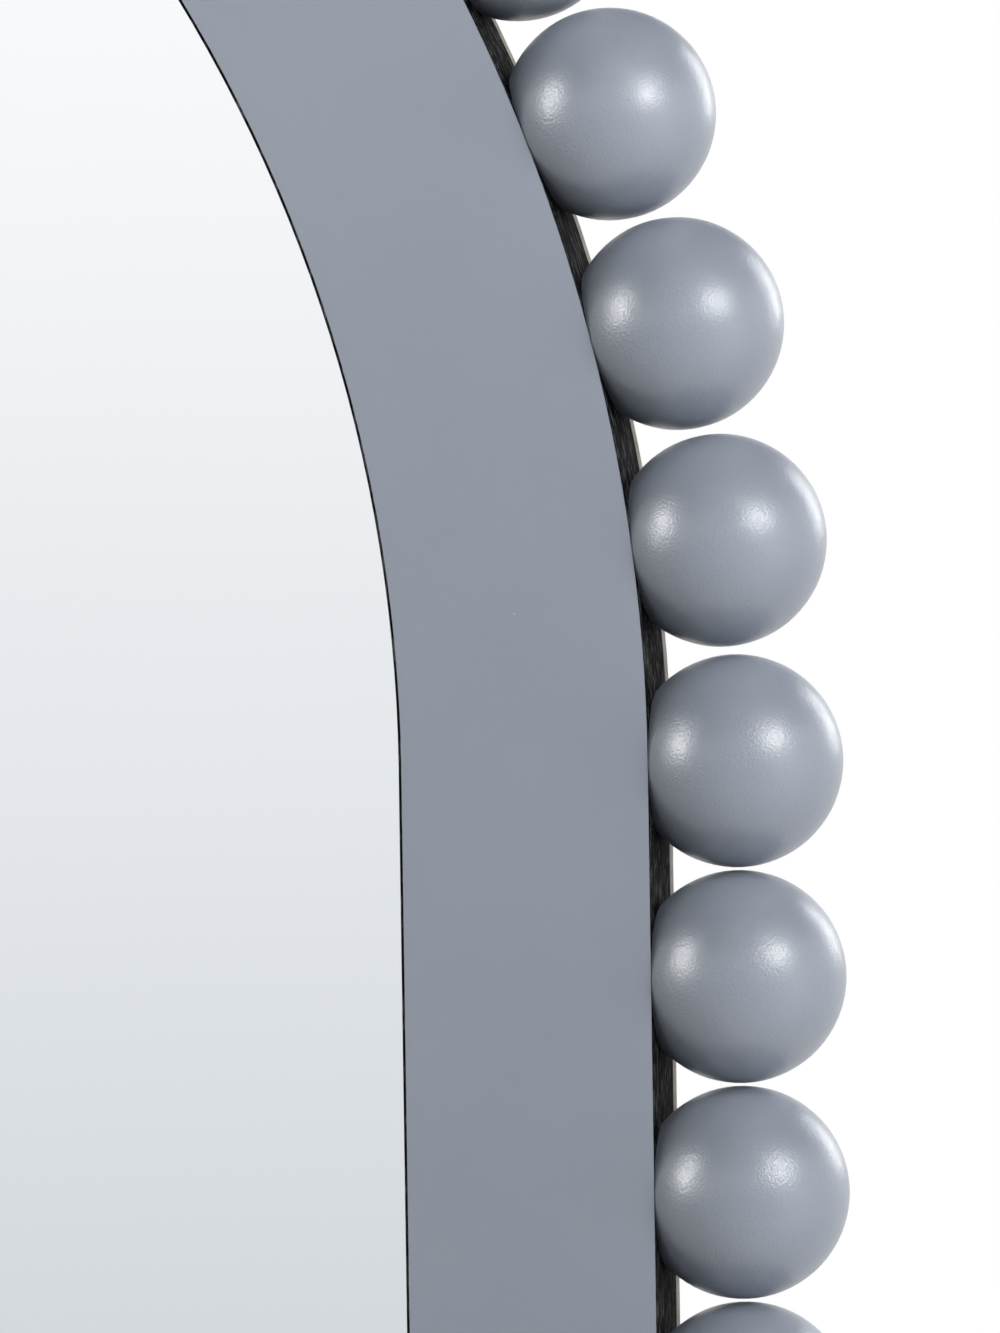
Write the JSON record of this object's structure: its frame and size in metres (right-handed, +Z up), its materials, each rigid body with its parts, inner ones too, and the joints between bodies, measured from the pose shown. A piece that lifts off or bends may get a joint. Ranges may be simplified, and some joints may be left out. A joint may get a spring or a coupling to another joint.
{
  "type": "full-length wall mirror",
  "caption": "Arched full-length wall mirror in a flat grey-blue band with black sides and a border of round balls.",
  "frame": {"origin": "on the wall plane, midway between the hinge axes of the two hanger rings", "axes": "+X to the right of someone who looks into the mirror, +Y into the wall, +Z up"},
  "size_m": [0.9196, 0.0529, 1.9188],
  "materials": {
    "blue_paint": "satin grey-blue paint",
    "black_wood": "matt black stain on rough grain",
    "mirror": "polished",
    "panel_board": "raw pale fibreboard",
    "dowel_wood": "raw beech",
    "steel": "zinc plated",
    "rubber": "matt",
    "foam": "closed-cell foam"
  },
  "bodies": {
    "frame": {"face_board": "blue_paint", "left_stile": "black_wood", "right_stile": "black_wood", "bottom_rail": "black_wood", "arch_segment_1": "black_wood", "arch_segment_2": "black_wood", "arch_segment_3": "black_wood", "arch_segment_4": "black_wood", "arch_segment_5": "black_wood", "frame_dowels": "dowel_wood", "mirror_glass": "mirror", "setting_block_left": "rubber", "setting_block_right": "rubber", "foam_strip": "foam", "back_panel": "panel_board", "panel_screws": "steel", "balls_left_side": "blue_paint", "balls_right_side": "blue_paint", "balls_bottom": "blue_paint", "balls_arch_1": "blue_paint", "balls_arch_2": "blue_paint", "balls_arch_3": "blue_paint", "balls_arch_4": "blue_paint", "balls_arch_5": "blue_paint", "ball_dowels": "dowel_wood", "left_hanger_strap": "steel", "right_hanger_strap": "steel", "hanger_screws": "steel", "bumper_bottom_left": "rubber", "bumper_bottom_right": "rubber", "bumper_top_left": "rubber", "bumper_top_right": "rubber", "bumper_screws": "steel"},
    "left_ring": {"left_hanger_ring": "steel"},
    "right_ring": {"right_hanger_ring": "steel"}
  },
  "joints": [
    {"name": "left_ring_hinge", "type": "hinge", "parent": "frame", "child": "left_ring", "pos_m": [-0.386, -0.0062, 0], "axis": [1, 0, 0], "range_deg": [0, 180]},
    {"name": "right_ring_hinge", "type": "hinge", "parent": "frame", "child": "right_ring", "pos_m": [0.386, -0.0062, 0], "axis": [1, 0, 0], "range_deg": [0, 180]}
  ]
}
